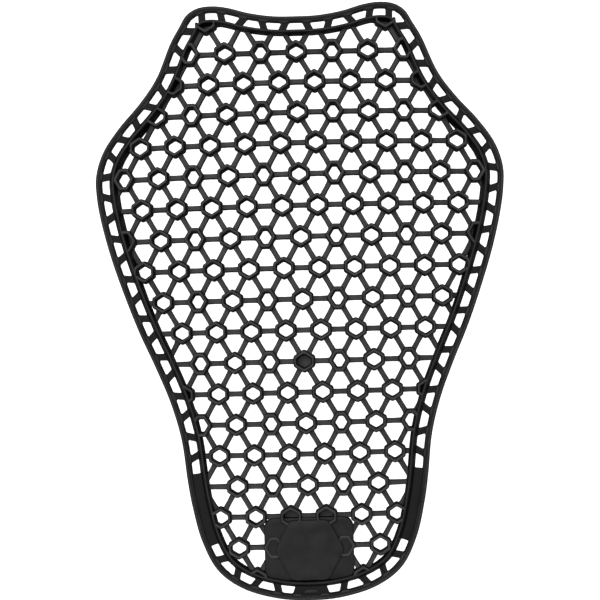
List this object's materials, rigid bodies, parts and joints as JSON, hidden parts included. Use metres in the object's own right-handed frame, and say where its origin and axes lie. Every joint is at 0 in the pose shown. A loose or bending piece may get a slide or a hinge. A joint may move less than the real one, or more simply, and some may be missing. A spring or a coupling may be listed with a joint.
{
  "type": "back protector",
  "caption": "Moulded rubber back protector: a bulged net of hexagonal tubes inside a raised lip, a windowed border flange and a plain pad at the foot end.",
  "frame": {"origin": "centre of the bounding box in X and Y, on the plane of the border flange's underside", "axes": "+X across the back, +Y towards the neck end, +Z away from the wearer's back"},
  "size_m": [0.301, 0.4409, 0.0293],
  "materials": {
    "elastomer": "matt, moulded"
  },
  "bodies": {
    "root": {"protector_shell": "elastomer"}
  },
  "joints": []
}
